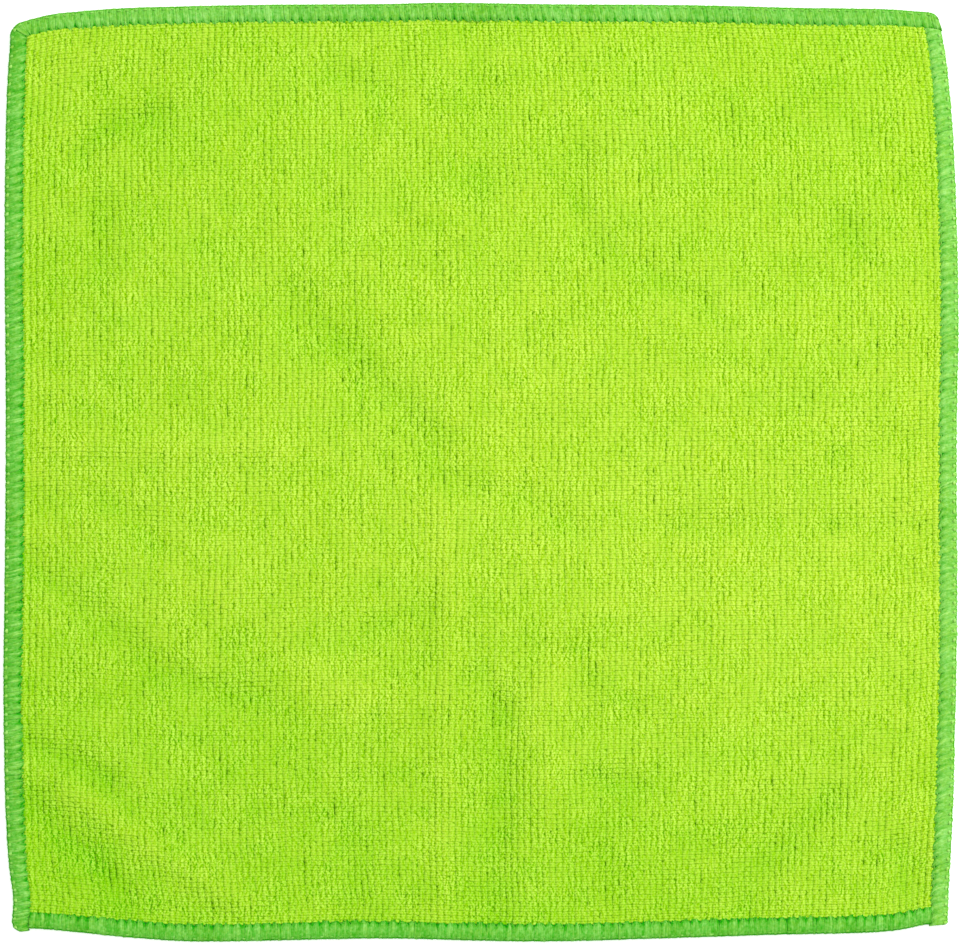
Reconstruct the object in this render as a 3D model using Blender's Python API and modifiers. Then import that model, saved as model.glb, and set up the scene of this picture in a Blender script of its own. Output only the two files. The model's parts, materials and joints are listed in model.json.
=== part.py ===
"""A microfibre cleaning cloth lying flat: one square of warp-knit terry with four overlocked edges.

The square is drawn in its own flat measure, SIDE by SIDE, with each edge seam as a straight band.
One map, lie(), then pulls that square into the uneven outline in which the washed cloth lies.
Metres, +Z up, +X and +Y along the cloth's sides, origin on the surface under its middle.
"""

import math
from collections import namedtuple

import bmesh
import bpy
from mathutils import Matrix, Vector

COLLECTION = "microfibre_cloth"
MM = 0.001

# The terry sheet
SIDE = 300 * MM
TERRY_HEIGHT = 2.4 * MM
MARGIN_UNDER = 0.8 * MM  # the margin is pressed thin inside the seam, between these two heights
MARGIN_TOP = 2.0 * MM
CUT_BACK = 0.8 * MM  # from the seam's outer face in to the sheet's cut edge
CORNER_CUT = 1.9 * MM  # the cut edge's corner, from both outer faces
PILE_SHOULDER = 0.5 * MM  # the loops rise to full height over this much, inside the needle line
CELLS = 46  # of the grid across the open terry

# The overlock thread, laid round the margin as a thin skin
THREAD_SKIN = 0.5 * MM
SEAM_HEIGHT = 2.8 * MM
SEAM_CROWN = 0.15 * MM  # the top of the seam swells by this much halfway across
SEAM_EASE = 0.8 * MM  # radius that turns the seam's outer face into its top and underside
GAP = 0.3 * MM  # between pieces that touch
ROUND_STEPS = 4
FAN = 1.2 * MM  # length of needle line that the stitches round a corner share

# The first part of a rise is taken up by the loops, before the underside leaves the surface
LOOSE_PILE = 0.2 * MM
FADE = 2.0  # how fast a fold fades: an eighth of its height is left at its spread

# Colours, linear
TERRY_GREEN = (0.453, 0.775, 0.039, 1.0)
THREAD_GREEN = (0.156, 0.610, 0.058, 1.0)

# Where the square's corners lie, taken where its two edges would cross (mm)
CORNERS = {
    "bottom_left": Vector((-149.4, -145.2)) * MM,
    "bottom_right": Vector((148.2, -143.5)) * MM,
    "top_right": Vector((145.0, 145.7)) * MM,
    "top_left": Vector((-149.7, 142.1)) * MM,
}

# How far each edge bulges past the straight line between its corners, anticlockwise (mm).
# Columns: distance along the edge, bulge.
BULGES = {
    "bottom": (
        (0, 0.0), (8, 0.0), (22, 1.3), (38, 3.0), (60, 4.4), (118, 3.8), (168, 5.0),
        (214, 4.1), (245, 3.3), (274, 2.8), (285, 1.9), (293, 0.3), (300, 0.0),
    ),
    "right": (
        (0, 0.0), (11, 0.5), (34, 2.0), (60, 3.0), (100, 4.15), (159, 4.65), (198, 5.6),
        (238, 5.3), (261, 4.5), (277, 3.4), (288, 2.1), (300, 0.0),
    ),
    "top": (
        (0, 0.0), (7, 0.7), (18, 1.6), (44, 2.3), (83, 3.65), (122, 4.35), (160, 5.3),
        (180, 5.15), (219, 5.35), (261, 4.9), (277, 4.0), (287, 3.0), (295, 1.1), (300, 0.0),
    ),
    "left": (
        (0, 0.0), (6, 0.0), (18, 0.8), (35, 1.4), (72, 1.8), (131, 1.5), (171, 1.75),
        (215, 2.3), (244, 2.1), (267, 1.45), (280, 0.5), (290, -0.7), (300, 0.0),
    ),
}

# The folds that packing and washing left, as soft rises (+) and troughs (-) along a path.
# Columns, all mm: height along its middle, spread to where it fades, and the path's X, Y stops.
Fold = namedtuple("Fold", "name height spread path")
FOLDS = (
    Fold("packing_fold_upper", -0.41, 12, ((-3, 140), (-1, 117), (1, 97))),
    Fold("packing_fold_middle", -0.16, 7, ((-2, 95), (-1, 30))),
    Fold("packing_fold_lower", -0.60, 7, ((0, -65), (7, -79), (6, -103), (5, -123), (5, -145))),
    Fold("packing_fold_left_bank", 0.42, 7, ((-12, -13), (-10, -41), (-12, -81), (-12, -141))),
    Fold("packing_fold_right_bank", 0.45, 10, ((20, -66), (21, -107))),
    Fold("cross_fold_left", -0.40, 7, ((-146, -9), (-123, -8), (-109, -15), (-103, -23))),
    Fold("cross_fold_left_bank", 0.42, 7, ((-138, 10), (-103, 9), (-63, 7))),
    Fold("cross_fold_right", -0.44, 7, ((59, -16), (92, -16), (117, -15), (140, -18))),
    Fold("diagonal_crease", -0.75, 12, ((-59, 53), (-47, 41), (-33, 26), (-15, 9))),
    Fold("diagonal_tail", -0.45, 7, ((-11, -1), (-1, -6), (15, -8), (30, -18))),
    Fold("diagonal_end_hollow", -0.42, 7, ((-54, 91), (-47, 85))),
    Fold("upper_left_crease", -0.76, 7, ((-126, 101), (-118, 110), (-103, 113))),
    Fold("left_crease", -0.55, 7, ((-145, -28), (-122, -47), (-101, -63), (-86, -70), (-70, -72))),
    Fold("left_crease_bank", 0.32, 12, ((-97, -43), (-77, -37))),
    Fold("lower_left_crease", -0.65, 7, ((-146, -85), (-133, -90), (-119, -98))),
    Fold("lower_left_bank", 0.30, 12, ((-140, -79), (-127, -84), (-113, -92))),
    Fold("corner_crease", -0.65, 7, ((-144, -106), (-129, -118), (-114, -133))),
    Fold("corner_crease_bank", 0.68, 7, ((-131, -100), (-107, -117), (-78, -136))),
    Fold("lower_right_crease", -0.68, 7, ((110, -103), (94, -120), (84, -138))),
    Fold("lower_right_corner_crease", -0.80, 12, ((133, -123), (136, -133))),
    Fold("right_crease", -0.35, 7, ((138, 12), (120, 7), (103, 0))),
    Fold("right_hollow", -0.53, 7, ((116, 79), (120, 69))),
    Fold("upper_right_crease", -0.45, 7, ((32, 102), (30, 84), (35, 73), (49, 65), (71, 53))),
    Fold("left_middle_hollow", -0.50, 7, ((-34, -50), (-18, -44))),
    Fold("left_middle_rise", 0.56, 12, ((-52, -65), (-30, -71))),
    Fold("left_hollow", -0.42, 7, ((-120, 84), (-120, 63))),
    Fold("top_hollow", -0.47, 7, ((-45, 126), (-30, 120))),
    Fold("top_left_rise", 0.32, 7, ((-133, 133), (-116, 133))),
    Fold("bottom_hollow", -0.53, 7, ((36, -98), (48, -99))),
    Fold("bottom_crease", -0.35, 8, ((-41, -114), (-41, -142))),
    Fold("lower_left_corner_lift", 0.30, 26, ((-149, -145),)),
    Fold("lower_right_corner_lift", 0.45, 24, ((148, -143),)),
    Fold("upper_right_corner_lift", 0.60, 26, ((146, 146),)),
    Fold("upper_left_corner_lift", 0.40, 22, ((-149, 143),)),
)

# The seams, anticlockwise, with the width from each outer face to its needle line (mm)
WIDTHS = {"bottom": 5.65, "right": 5.5, "top": 5.6, "left": 5.8}
EDGES = list(WIDTHS)

# How a seam ends at a corner of the square: how far its outer face and its needle line reach past
# the corner (mm, below zero is short of it), and the radius and angle of the round that it covers.
End = namedtuple("End", "reach needle radius wrap")
SLIT = GAP / MM
MITRE = 0.7 * SLIT


def butt(neighbour):
    """An end that stops against the needle line of a seam that runs through the corner."""
    reach = -WIDTHS[neighbour] - SLIT
    return End(reach, reach, radius=0, wrap=0)


def mitre(neighbour):
    """An end that shares a rounded corner with the next seam."""
    return End(-MITRE, -WIDTHS[neighbour] - MITRE, radius=4.0, wrap=45)


ENDS = {
    "bottom": (butt("left"), butt("right")),
    "right": (End(0.1, 0.3, radius=0.9, wrap=75), butt("top")),
    "top": (End(-0.35, 0.0, radius=2.2, wrap=72), mitre("left")),
    "left": (mitre("top"), End(0.9, 0.4, radius=4.0, wrap=75)),
}


def smooth_value(rows, at):
    """The value at a distance, on a smooth curve through rows of (distance, value)."""
    if at <= rows[0][0]:
        return rows[0][1]
    if at >= rows[-1][0]:
        return rows[-1][1]
    here = max(i for i, row in enumerate(rows[:-1]) if row[0] <= at)

    def slope(i):
        before, after = rows[max(i - 1, 0)], rows[min(i + 1, len(rows) - 1)]
        return (after[1] - before[1]) / (after[0] - before[0])

    (start, low), (end, high) = rows[here], rows[here + 1]
    span = end - start
    t = (at - start) / span
    return (
        low * (1 + 2 * t) * (1 - t) ** 2
        + high * t * t * (3 - 2 * t)
        + slope(here) * span * t * (1 - t) ** 2
        - slope(here + 1) * span * t * t * (1 - t)
    )


def edge_point(edge, along):
    """A point on one edge's outline, at a distance along it in the square's flat measure."""
    turn = EDGES.index(edge)
    corners = list(CORNERS.values())
    start, end = corners[turn], corners[(turn + 1) % 4]
    run = (end - start).normalized()
    outwards = Vector((run.y, -run.x))
    bulge = smooth_value(BULGES[edge], along / MM) * MM
    return start.lerp(end, along / SIDE) + outwards * bulge


def lie(flat):
    """Where a point of the flat square lies: the four outlines blended across the cloth."""
    across, up = flat.x / SIDE, flat.y / SIDE
    bottom, top = edge_point("bottom", flat.x), edge_point("top", SIDE - flat.x)
    left, right = edge_point("left", SIDE - flat.y), edge_point("right", flat.y)
    low = CORNERS["bottom_left"].lerp(CORNERS["bottom_right"], across)
    high = CORNERS["top_left"].lerp(CORNERS["top_right"], across)
    return bottom.lerp(top, up) + left.lerp(right, across) - low.lerp(high, up)


def distance_to_path(point, path):
    """From a point to the nearest place on a path of X, Y points; all in mm."""
    stops = [Vector(stop) for stop in path]
    nearest = min((point - stop).length for stop in stops)
    for start, end in zip(stops, stops[1:]):
        run = end - start
        t = (point - start).dot(run) / run.length_squared
        if 0 < t < 1:
            nearest = min(nearest, (point - start - run * t).length)
    return nearest


def relief(place):
    """How far the folds raise or sink the cloth's face at a place on the surface."""
    point = place / MM
    rise = 0.0
    for fold in FOLDS:
        apart = distance_to_path(point, fold.path) / fold.spread
        rise += fold.height * math.exp(-FADE * apart * apart)
    return rise * MM


def lift(place):
    """How far the cloth's underside stands off the surface at a place."""
    return max(0.0, relief(place) - LOOSE_PILE)


def stations(first_width, last_width):
    """Distances across the sheet: cut edge, needle line, full pile, the open terry, and back."""
    first = first_width * MM + GAP
    last = SIDE - last_width * MM - GAP
    start, end = first + PILE_SHOULDER, last - PILE_SHOULDER
    terry = [start + (end - start) * i / CELLS for i in range(CELLS + 1)]
    return [CUT_BACK, first, *terry, last, SIDE - CUT_BACK]


def new_object(name, mesh, colour, roughness):
    """An object of the cloth's collection, with its own material."""
    material = bpy.data.materials.new(name)
    material.use_nodes = True
    shader = material.node_tree.nodes["Principled BSDF"]
    shader.inputs["Base Color"].default_value = colour
    shader.inputs["Roughness"].default_value = roughness
    shader.inputs["Metallic"].default_value = 0.0
    mesh.materials.append(material)
    mesh.shade_smooth()
    mesh.set_sharp_from_angle(angle=math.radians(50))
    made = bpy.data.objects.new(name, mesh)
    bpy.data.collections[COLLECTION].objects.link(made)
    return made


def make_sheet():
    """The terry: a grid on the folds, closed below, with its margin pressed thin all round."""
    columns = stations(WIDTHS["left"], WIDTHS["right"])
    rows = stations(WIDTHS["bottom"], WIDTHS["top"])
    last = len(columns) - 1
    bm = bmesh.new()
    bmesh.ops.create_grid(bm, x_segments=last, y_segments=last, size=last / 2)
    extruded = bmesh.ops.extrude_face_region(bm, geom=bm.faces[:], use_keep_orig=True)
    upper = {part for part in extruded["geom"] if isinstance(part, bmesh.types.BMVert)}
    for vert in bm.verts:
        column, row = round(vert.co.x + last / 2), round(vert.co.y + last / 2)
        flat = Vector((columns[column], rows[row]))
        if column in (0, last) and row in (0, last):
            flat.x = CORNER_CUT if column == 0 else SIDE - CORNER_CUT
            flat.y = CORNER_CUT if row == 0 else SIDE - CORNER_CUT
        place = lie(flat)
        pressed = min(column, row, last - column, last - row) < 2
        if pressed:
            height = lift(place) + (MARGIN_TOP if vert in upper else MARGIN_UNDER)
        elif vert in upper:
            height = TERRY_HEIGHT + relief(place)
        else:
            height = lift(place)
        vert.co = (place.x, place.y, height)
    bmesh.ops.recalc_face_normals(bm, faces=bm.faces)
    mesh = bpy.data.meshes.new("cloth")
    bm.to_mesh(mesh)
    bm.free()
    new_object("cloth", mesh, TERRY_GREEN, 0.9)


def end_round(end):
    """Points past the corner that an end's outer face and needle line run through together."""
    centre = end.reach - end.radius
    needle_start = min(centre, end.needle - FAN / MM)
    steps = ROUND_STEPS if end.radius else 0
    points = []
    for step in range(steps + 1):
        part = step / steps if steps else 1.0
        angle = math.radians(end.wrap) * part
        outer = Vector((centre + end.radius * math.sin(angle), end.radius * (1 - math.cos(angle))))
        needle = needle_start + (end.needle - needle_start) * part
        points.append((outer * MM, needle * MM))
    return points


def seam_rulings(edge):
    """Pairs of points across a seam, outer face to needle line, in (along, in) measure."""
    turn = EDGES.index(edge)
    before, after = EDGES[turn - 1], EDGES[(turn + 1) % 4]
    width = WIDTHS[edge] * MM
    start, end = ENDS[edge]
    starting = [
        (Vector((-outer.x, outer.y)), Vector((-needle, width)))
        for outer, needle in reversed(end_round(start))
    ]
    ending = [
        (Vector((SIDE + outer.x, outer.y)), Vector((SIDE + needle, width)))
        for outer, needle in end_round(end)
    ]
    low = max(starting[-1][0].x, starting[-1][1].x) + GAP
    high = min(ending[0][0].x, ending[0][1].x) - GAP
    shared = [at for at in stations(WIDTHS[before], WIDTHS[after]) if low < at < high]
    return starting + [(Vector((at, 0.0)), Vector((at, width))) for at in shared] + ending


def seam_profile(width):
    """The thread skin's outer face in section, from the lower lip round to the upper one."""
    nook = SEAM_EASE * (1 - math.sqrt(0.5))  # halfway round an eased corner
    return (
        (width, 0.0),
        (SEAM_EASE, 0.0),
        (nook, nook),
        (0.0, SEAM_HEIGHT / 2),
        (nook, SEAM_HEIGHT - nook),
        (SEAM_EASE, SEAM_HEIGHT),
        (width / 2, SEAM_HEIGHT + SEAM_CROWN),
        (width, SEAM_HEIGHT),
    )


def make_seam(edge):
    """One overlocked edge: the thread skin swept along its rulings, open towards the sheet."""
    name = "overlock_" + edge
    width = WIDTHS[edge] * MM
    rulings, profile = seam_rulings(edge), seam_profile(width)
    runs, turns = len(rulings) - 1, len(profile) - 1
    middle = Vector((SIDE / 2, SIDE / 2))
    to_edge = Matrix.Rotation(math.radians(90 * EDGES.index(edge)), 2)
    bm = bmesh.new()
    bmesh.ops.create_grid(bm, x_segments=runs, y_segments=turns, size=0.5)
    for vert in bm.verts:
        run, turn = round((vert.co.x + 0.5) * runs), round((vert.co.y + 0.5) * turns)
        inwards, height = profile[turn]
        outer, needle = rulings[run]
        flat = to_edge @ (outer.lerp(needle, inwards / width) - middle) + middle
        place = lie(flat)
        vert.co = (place.x, place.y, height + lift(place))
    mesh = bpy.data.meshes.new(name)
    bm.to_mesh(mesh)
    bm.free()
    made = new_object(name, mesh, THREAD_GREEN, 0.8)
    skin = made.modifiers.new("thread skin", "SOLIDIFY")
    skin.thickness = THREAD_SKIN
    skin.offset = -1.0
    skin.use_even_offset = True


for old in list(bpy.data.objects):
    bpy.data.objects.remove(old, do_unlink=True)
bpy.context.scene.collection.children.link(bpy.data.collections.new(COLLECTION))
make_sheet()
for seam_edge in EDGES:
    make_seam(seam_edge)
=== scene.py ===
"""A microfibre cleaning cloth lying flat on a pale table top, seen from straight above.

It is put together as the real one is: the knitted ground, the terry loops that stand on it in
ribs, and the four overlocked edges. Sizes are in millimetres until a mesh is made.
"""

import json
import math
from collections import namedtuple

import bpy
import numpy as np
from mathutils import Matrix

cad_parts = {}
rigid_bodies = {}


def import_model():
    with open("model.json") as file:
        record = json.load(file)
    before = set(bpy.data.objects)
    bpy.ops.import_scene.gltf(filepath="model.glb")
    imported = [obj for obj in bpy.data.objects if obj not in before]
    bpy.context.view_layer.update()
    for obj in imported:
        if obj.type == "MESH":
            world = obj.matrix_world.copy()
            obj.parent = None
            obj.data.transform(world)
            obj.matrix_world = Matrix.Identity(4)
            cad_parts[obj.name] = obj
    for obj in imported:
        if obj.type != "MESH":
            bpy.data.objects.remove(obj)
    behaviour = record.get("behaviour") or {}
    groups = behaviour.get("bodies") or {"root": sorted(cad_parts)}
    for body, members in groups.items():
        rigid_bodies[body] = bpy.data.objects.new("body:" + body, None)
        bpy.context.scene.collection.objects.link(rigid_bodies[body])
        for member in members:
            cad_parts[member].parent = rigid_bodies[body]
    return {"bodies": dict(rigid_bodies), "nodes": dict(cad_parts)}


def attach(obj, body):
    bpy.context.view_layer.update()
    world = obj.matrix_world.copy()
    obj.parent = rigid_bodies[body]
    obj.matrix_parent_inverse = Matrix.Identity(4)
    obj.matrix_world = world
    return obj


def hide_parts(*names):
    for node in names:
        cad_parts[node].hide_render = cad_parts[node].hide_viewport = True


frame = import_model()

for leftover in set(bpy.data.objects) - {*frame["nodes"].values(), *frame["bodies"].values()}:
    bpy.data.objects.remove(leftover)
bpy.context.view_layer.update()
MM = 0.001


# ----------------------------------------------------------
# The table top, the camera and the daylight.
# The cloth is photographed from straight above, on a plain white top, in soft light from all
# round that is a little stronger from the upper right.

PHOTO_WIDTH = 961
MM_PER_PIXEL = 0.3175
LENS = 135.0
SENSOR = 36.0
OUTLINE_HEIGHT = 1.6  # the height of the cloth's widest outline
PHOTO_MIDDLE = (-0.19, -0.67)
NEAREST, FARTHEST = 0.01, 20.0  # what the camera takes in, in metres


def add_object(name, data):
    """A new object in the scene, at the origin."""
    made = bpy.data.objects.new(name, data)
    bpy.context.scene.collection.objects.link(made)
    return made


def set_inputs(node, values):
    """A node's inputs, set by the names of their sockets."""
    for name, value in values.items():
        node.inputs[name].default_value = value


camera_data = bpy.data.cameras.new("overhead_camera")
camera_data.lens, camera_data.sensor_width = LENS, SENSOR
camera_data.clip_start, camera_data.clip_end = NEAREST, FARTHEST
camera = add_object("overhead_camera", camera_data)
distance = PHOTO_WIDTH * MM_PER_PIXEL * LENS / SENSOR
camera.location = (PHOTO_MIDDLE[0] * MM, PHOTO_MIDDLE[1] * MM, (distance + OUTLINE_HEIGHT) * MM)
bpy.context.scene.camera = camera
bpy.context.scene.view_settings.view_transform = "Standard"
bpy.context.scene.view_settings.look = "None"

TABLE_SIDE = 6.0
TABLE_HEIGHT = -0.05  # just under the cloth, whose underside is at zero
TABLE_WHITE = (0.95, 0.95, 0.95, 1.0)
TABLE_ROUGHNESS = 0.9
TABLE_GLOW = 0.35  # a sheet lit from beneath, so that the cloth throws hardly any shadow

half = TABLE_SIDE / 2
table_mesh = bpy.data.meshes.new("table_top")
table_mesh.from_pydata(
    [(x, y, TABLE_HEIGHT * MM) for x, y in ((-half, -half), (half, -half), (half, half), (-half, half))],
    [],
    [(0, 1, 2, 3)],
)
table_paint = bpy.data.materials.new("table_top")
table_paint.use_nodes = True
set_inputs(
    table_paint.node_tree.nodes["Principled BSDF"],
    {
        "Base Color": TABLE_WHITE, "Roughness": TABLE_ROUGHNESS,
        "Emission Color": TABLE_WHITE, "Emission Strength": TABLE_GLOW,
    },
)
table_mesh.materials.append(table_paint)
table_top = add_object("table_top", table_mesh)

SKY_WHITE = (1.0, 1.0, 1.0, 1.0)
SKY_STRENGTH = 0.62
# Each soft box: name, place in metres, side in metres, power in watts
SOFT_BOXES = (
    ("key_light", (1.15, 1.02, 1.38), 1.25, 26.0),
    ("overhead_light", (0.0, 0.0, 1.25), 0.6, 4.9),
)

daylight = bpy.data.worlds.new("daylight")
daylight.use_nodes = True
set_inputs(daylight.node_tree.nodes["Background"], {"Color": SKY_WHITE, "Strength": SKY_STRENGTH})
bpy.context.scene.world = daylight
for name, place, side, power in SOFT_BOXES:
    lamp_data = bpy.data.lights.new(name, "AREA")
    lamp_data.shape, lamp_data.size, lamp_data.energy = "SQUARE", side, power
    lamp = add_object(name, lamp_data)
    lamp.location = place
    lamp.rotation_euler = (-lamp.location).to_track_quat("-Z", "Y").to_euler()


# ----------------------------------------------------------
# The knitted ground.
# One square of warp-knit microfibre, cut 300 mm by 300 mm, with 144 wales that show as ribs on
# both faces. It lies in the outline and the folds that washing and packing left.

SIDE = 300.0
SHEET_HEIGHT = 2.4

# Where the square's corners lie, taken where its two edges would cross
CORNERS = np.array([(-149.4, -145.2), (148.2, -143.5), (145.0, 145.7), (-149.7, 142.1)])

# The edges anticlockwise, and how far each bulges past the straight line between its corners.
# Columns: distance along the edge, bulge.
EDGES = ("bottom", "right", "top", "left")
BULGES = {
    "bottom": (
        (0, 0.0), (8, 0.0), (22, 1.3), (38, 3.0), (60, 4.4), (118, 3.8), (168, 5.0),
        (214, 4.1), (245, 3.3), (274, 2.8), (285, 1.9), (293, 0.3), (300, 0.0),
    ),
    "right": (
        (0, 0.0), (11, 0.5), (34, 2.0), (60, 3.0), (100, 4.15), (159, 4.65), (198, 5.6),
        (238, 5.3), (261, 4.5), (277, 3.4), (288, 2.1), (300, 0.0),
    ),
    "top": (
        (0, 0.0), (7, 0.7), (18, 1.6), (44, 2.3), (83, 3.65), (122, 4.35), (160, 5.3),
        (180, 5.15), (219, 5.35), (261, 4.9), (277, 4.0), (287, 3.0), (295, 1.1), (300, 0.0),
    ),
    "left": (
        (0, 0.0), (6, 0.0), (18, 0.8), (35, 1.4), (72, 1.8), (131, 1.5), (171, 1.75),
        (215, 2.3), (244, 2.1), (267, 1.45), (280, 0.5), (290, -0.7), (300, 0.0),
    ),
}

# Soft rises (+) and troughs (-). Columns: height at the middle, spread, stops of the path.
FOLDS = (
    # The packing fold up the middle, and its banks
    (-0.41, 12, ((-3, 140), (-1, 117), (1, 97))),
    (-0.16, 7, ((-2, 95), (-1, 30))),
    (-0.60, 7, ((0, -65), (7, -79), (6, -103), (5, -123), (5, -145))),
    (0.42, 7, ((-12, -13), (-10, -41), (-12, -81), (-12, -141))),
    (0.45, 10, ((20, -66), (21, -107))),
    # The packing fold across, and its bank
    (-0.40, 7, ((-146, -9), (-123, -8), (-109, -15), (-103, -23))),
    (0.42, 7, ((-138, 10), (-103, 9), (-63, 7))),
    (-0.44, 7, ((59, -16), (92, -16), (117, -15), (140, -18))),
    # The long diagonal crease, its tail, and the hollow at its upper end
    (-0.75, 12, ((-59, 53), (-47, 41), (-33, 26), (-15, 9))),
    (-0.45, 7, ((-11, -1), (-1, -6), (15, -8), (30, -18))),
    (-0.42, 7, ((-54, 91), (-47, 85))),
    # Creases at the left, each with its bank
    (-0.76, 7, ((-126, 101), (-118, 110), (-103, 113))),
    (-0.55, 7, ((-145, -28), (-122, -47), (-101, -63), (-86, -70), (-70, -72))),
    (0.32, 12, ((-97, -43), (-77, -37))),
    (-0.65, 7, ((-146, -85), (-133, -90), (-119, -98))),
    (0.30, 12, ((-140, -79), (-127, -84), (-113, -92))),
    (-0.65, 7, ((-144, -106), (-129, -118), (-114, -133))),
    (0.68, 7, ((-131, -100), (-107, -117), (-78, -136))),
    # Creases and hollows on the right
    (-0.68, 7, ((110, -103), (94, -120), (84, -138))),
    (-0.80, 12, ((133, -123), (136, -133))),
    (-0.35, 7, ((138, 12), (120, 7), (103, 0))),
    (-0.53, 7, ((116, 79), (120, 69))),
    (-0.45, 7, ((32, 102), (30, 84), (35, 73), (49, 65), (71, 53))),
    # Hollows and rises of the left half and along the top and the bottom
    (-0.50, 7, ((-34, -50), (-18, -44))),
    (0.56, 12, ((-52, -65), (-30, -71))),
    (-0.42, 7, ((-120, 84), (-120, 63))),
    (-0.47, 7, ((-45, 126), (-30, 120))),
    (0.32, 7, ((-133, 133), (-116, 133))),
    (-0.53, 7, ((36, -98), (48, -99))),
    (-0.35, 8, ((-41, -114), (-41, -142))),
    # The corners, lifted a little
    (0.30, 26, ((-149, -145),)),
    (0.45, 24, ((148, -143),)),
    (0.60, 26, ((146, 146),)),
    (0.40, 22, ((-149, 143),)),
)
FADE = 2.0  # how fast a fold fades past its spread
LOOSE_PILE = 0.2  # the rise that the loops take up before the underside leaves the table

IN_TROUGHS = 0.9  # painted shade: how much deeper the colour is painted for each millimetre that a fold sinks
MOTTLE = 0.28  # how unevenly the dye has washed out, in small patches
# Broad clouds of painted shade (+) and painted light (-), darkest towards the lower left corner and palest in
# the middle: how much, spread, middle
SHADE_AND_LIGHT_CLOUDS = (
    (1.25, 160, (-150, -150)), (0.45, 90, (0, -150)), (0.60, 90, (70, -150)), (0.40, 90, (-150, 80)),
    (0.30, 90, (-80, 150)), (0.50, 90, (150, 150)), (-0.40, 70, (15, 15)), (-0.40, 90, (150, 0)),
    (-0.35, 70, (80, -40)), (-0.25, 70, (-80, -20)),
)

# The seams' widths, from each outer face to its needle line, and the margin that they hold
WIDTHS = {"bottom": 5.65, "right": 5.5, "top": 5.6, "left": 5.8}
MARGIN_UNDER = 0.8
MARGIN_TOP = 2.0
CUT_BACK = 0.8
CORNER_CUT = 1.9
PRESSED_LINE = 3.2  # where a line of points runs along the pressed margin
PRESSED_LINE_RIGHT = 3.0
NEEDLE_GAP = 0.3
SHOULDER = 0.5

RIBS = 144
RIB_PHASES = (0.0, 0.3, 0.7)  # groove, and the two shoulders of the rib beside it
GROUND_BELOW = 0.38  # of the rib's top, under the loops' tops
GROOVE_DEPTH = 0.22
UNDER_GROOVE = 0.35
LENGTHWISE_CELLS = 62


def smooth_values(rows, at):
    """The values at these distances, on a smooth curve through rows of (distance, value)."""
    along, value = np.array(rows, float).T
    slope = np.gradient(value) / np.gradient(along)
    here = np.clip(np.searchsorted(along, at, "right") - 1, 0, len(along) - 2)
    span = along[here + 1] - along[here]
    t = np.clip((at - along[here]) / span, 0, 1)
    return (
        value[here] * (1 + 2 * t) * (1 - t) ** 2
        + value[here + 1] * t * t * (3 - 2 * t)
        + slope[here] * span * t * (1 - t) ** 2
        - slope[here + 1] * span * t * t * (1 - t)
    )


def edge_points(edge, along):
    """Points on one edge's outline, at these distances along it in the square's flat measure."""
    turn = EDGES.index(edge)
    start, end = CORNERS[turn], CORNERS[(turn + 1) % 4]
    run = (end - start) / np.linalg.norm(end - start)
    outwards = np.array((run[1], -run[0]))
    bulge = smooth_values(BULGES[edge], along)
    return start + (end - start) * (along / SIDE)[..., None] + outwards * bulge[..., None]


def lie(flat):
    """Where points of the flat square lie: the four outlines blended across the cloth."""
    x, y = flat[..., 0], flat[..., 1]
    across, up = (x / SIDE)[..., None], (y / SIDE)[..., None]
    bottom, top = edge_points("bottom", x), edge_points("top", SIDE - x)
    left, right = edge_points("left", SIDE - y), edge_points("right", y)
    low = CORNERS[0] * (1 - across) + CORNERS[1] * across
    high = CORNERS[3] * (1 - across) + CORNERS[2] * across
    edges = bottom * (1 - up) + top * up + left * (1 - across) + right * across
    return edges - low * (1 - up) - high * up


def distance_to_path(place, path):
    """From each place to the nearest point of a path."""
    stops = np.array(path, float)
    nearest = np.min([np.linalg.norm(place - stop, axis=-1) for stop in stops], axis=0)
    for start, end in zip(stops, stops[1:]):
        run = end - start
        t = np.clip((place - start) @ run / (run @ run), 0, 1)
        nearest = np.minimum(nearest, np.linalg.norm(place - start - t[..., None] * run, axis=-1))
    return nearest


def relief(place):
    """How far the folds raise or sink the cloth's face at each place."""
    rise = np.zeros(place.shape[:-1])
    for height, spread, path in FOLDS:
        apart = distance_to_path(place, path) / spread
        rise += height * np.exp(-FADE * apart * apart)
    return rise


def lift(place):
    """How far the cloth's underside stands off the table at each place."""
    return np.maximum(0.0, relief(place) - LOOSE_PILE)


def dye_and_shade_depth(place):
    """How deep the colour looks at each place: the yarn's own small mottle, with painted shade deepening the
    troughs and broad clouds of painted shade and painted light.
    """
    mottle = uneven(place, (8, 6), 41) + uneven(place, (3.5, 4), 42)
    deep = MOTTLE * mottle - IN_TROUGHS * relief(place)
    for amount, spread, middle in SHADE_AND_LIGHT_CLOUDS:
        deep += amount * np.exp(-FADE * (np.linalg.norm(place - middle, axis=-1) / spread) ** 2)
    return deep


def uneven(place, grain, seed):
    """Soft random values from -1 to 1, in blobs of about grain (x, y)."""
    cell = place / np.array(grain, float)
    base = np.floor(cell).astype(int)
    t = cell - base
    t = t * t * (3 - 2 * t)
    table = np.random.default_rng(seed).uniform(-1, 1, (256, 256))

    def corner(right, up):
        return table[(base[..., 0] + right) % 256, (base[..., 1] + up) % 256]

    low = corner(0, 0) * (1 - t[..., 0]) + corner(1, 0) * t[..., 0]
    high = corner(0, 1) * (1 - t[..., 0]) + corner(1, 1) * t[..., 0]
    return low * (1 - t[..., 1]) + high * t[..., 1]


TERRY_LEFT, TERRY_BOTTOM = WIDTHS["left"] + NEEDLE_GAP, WIDTHS["bottom"] + NEEDLE_GAP
TERRY_RIGHT, TERRY_TOP = SIDE - WIDTHS["right"] - NEEDLE_GAP, SIDE - WIDTHS["top"] - NEEDLE_GAP
RIB_PITCH = (TERRY_RIGHT - TERRY_LEFT) / RIBS
RIB_WANDER = 0.32
CALM = 6.0  # from the seams in, where the ribs begin to wander


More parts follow.
